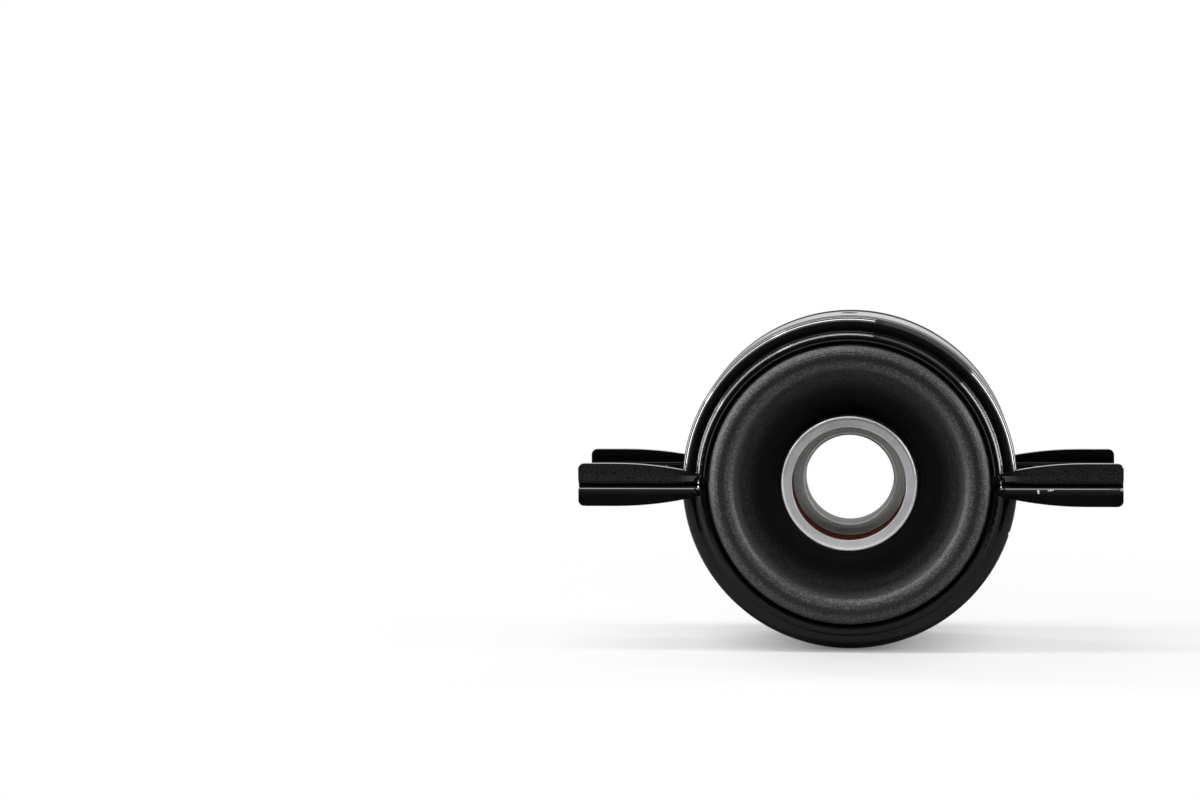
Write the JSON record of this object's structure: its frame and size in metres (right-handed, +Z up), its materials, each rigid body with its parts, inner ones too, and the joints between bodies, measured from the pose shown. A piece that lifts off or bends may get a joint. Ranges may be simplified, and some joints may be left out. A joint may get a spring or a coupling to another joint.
{
  "type": "driveshaft centre bearing",
  "caption": "Sealed ball bearing in a rubber cushion, clamped between pressed black bracket halves with flanged ears; it carries the middle of a two-piece driveshaft.",
  "frame": {"origin": "middle of the bearing's bore, on the shaft axis", "axes": "+X along the ears to the right of the pictured face, +Y along the shaft away from that face, +Z up from the split between the bracket halves"},
  "size_m": [0.182, 0.054, 0.1126],
  "materials": {
    "black_paint": "gloss black paint on pressed steel",
    "cushion_rubber": "matte moulded rubber",
    "carrier_steel": "plain drawn steel",
    "zinc_plate": "bright zinc plating",
    "bearing_steel": "ground bearing steel",
    "cage_steel": "pressed steel strip",
    "ball_steel": "polished bearing balls",
    "seal_rubber": "matte red-brown moulded rubber"
  },
  "bodies": {
    "housing": {"upper_bracket": "black_paint", "lower_bracket": "black_paint", "rubber_cushion": "cushion_rubber", "bearing_carrier": "carrier_steel", "front_dust_cover": "zinc_plate", "rear_dust_cover": "zinc_plate", "bearing_outer_ring": "bearing_steel", "front_seal": "seal_rubber", "rear_seal": "seal_rubber"},
    "inner_ring": {"bearing_inner_ring": "bearing_steel"},
    "cage": {"front_cage_half": "cage_steel", "rear_cage_half": "cage_steel", "cage_rivets": "cage_steel"},
    "ball_1": {"ball_1": "ball_steel"},
    "ball_2": {"ball_2": "ball_steel"},
    "ball_3": {"ball_3": "ball_steel"},
    "ball_4": {"ball_4": "ball_steel"},
    "ball_5": {"ball_5": "ball_steel"},
    "ball_6": {"ball_6": "ball_steel"},
    "ball_7": {"ball_7": "ball_steel"},
    "ball_8": {"ball_8": "ball_steel"},
    "ball_9": {"ball_9": "ball_steel"},
    "ball_10": {"ball_10": "ball_steel"},
    "ball_11": {"ball_11": "ball_steel"}
  },
  "joints": [
    {"name": "inner_ring_spin", "type": "hinge", "parent": "housing", "child": "inner_ring", "pos_m": [0, 0, 0], "axis": [0, 1, 0], "continuous": true},
    {"name": "cage_spin", "type": "hinge", "parent": "housing", "child": "cage", "pos_m": [0, 0, 0], "axis": [0, 1, 0], "continuous": true},
    {"name": "ball_1_roll", "type": "hinge", "parent": "cage", "child": "ball_1", "pos_m": [0.02125, 0, 0], "axis": [0, 1, 0], "continuous": true},
    {"name": "ball_2_roll", "type": "hinge", "parent": "cage", "child": "ball_2", "pos_m": [0.01788, 0, 0.01149], "axis": [0, 1, 0], "continuous": true},
    {"name": "ball_3_roll", "type": "hinge", "parent": "cage", "child": "ball_3", "pos_m": [0.00883, 0, 0.01933], "axis": [0, 1, 0], "continuous": true},
    {"name": "ball_4_roll", "type": "hinge", "parent": "cage", "child": "ball_4", "pos_m": [-0.00302, 0, 0.02103], "axis": [0, 1, 0], "continuous": true},
    {"name": "ball_5_roll", "type": "hinge", "parent": "cage", "child": "ball_5", "pos_m": [-0.01392, 0, 0.01606], "axis": [0, 1, 0], "continuous": true},
    {"name": "ball_6_roll", "type": "hinge", "parent": "cage", "child": "ball_6", "pos_m": [-0.02039, 0, 0.00599], "axis": [0, 1, 0], "continuous": true},
    {"name": "ball_7_roll", "type": "hinge", "parent": "cage", "child": "ball_7", "pos_m": [-0.02039, 0, -0.00599], "axis": [0, 1, 0], "continuous": true},
    {"name": "ball_8_roll", "type": "hinge", "parent": "cage", "child": "ball_8", "pos_m": [-0.01392, 0, -0.01606], "axis": [0, 1, 0], "continuous": true},
    {"name": "ball_9_roll", "type": "hinge", "parent": "cage", "child": "ball_9", "pos_m": [-0.00302, 0, -0.02103], "axis": [0, 1, 0], "continuous": true},
    {"name": "ball_10_roll", "type": "hinge", "parent": "cage", "child": "ball_10", "pos_m": [0.00883, 0, -0.01933], "axis": [0, 1, 0], "continuous": true},
    {"name": "ball_11_roll", "type": "hinge", "parent": "cage", "child": "ball_11", "pos_m": [0.01788, 0, -0.01149], "axis": [0, 1, 0], "continuous": true}
  ],
  "couplings": [
    {"joint": "cage_spin", "follows": "inner_ring_spin", "ratio": 0.41597},
    {"joint": "ball_1_roll", "follows": "inner_ring_spin", "ratio": -2.891},
    {"joint": "ball_2_roll", "follows": "inner_ring_spin", "ratio": -2.891},
    {"joint": "ball_3_roll", "follows": "inner_ring_spin", "ratio": -2.891},
    {"joint": "ball_4_roll", "follows": "inner_ring_spin", "ratio": -2.891},
    {"joint": "ball_5_roll", "follows": "inner_ring_spin", "ratio": -2.891},
    {"joint": "ball_6_roll", "follows": "inner_ring_spin", "ratio": -2.891},
    {"joint": "ball_7_roll", "follows": "inner_ring_spin", "ratio": -2.891},
    {"joint": "ball_8_roll", "follows": "inner_ring_spin", "ratio": -2.891},
    {"joint": "ball_9_roll", "follows": "inner_ring_spin", "ratio": -2.891},
    {"joint": "ball_10_roll", "follows": "inner_ring_spin", "ratio": -2.891},
    {"joint": "ball_11_roll", "follows": "inner_ring_spin", "ratio": -2.891}
  ]
}
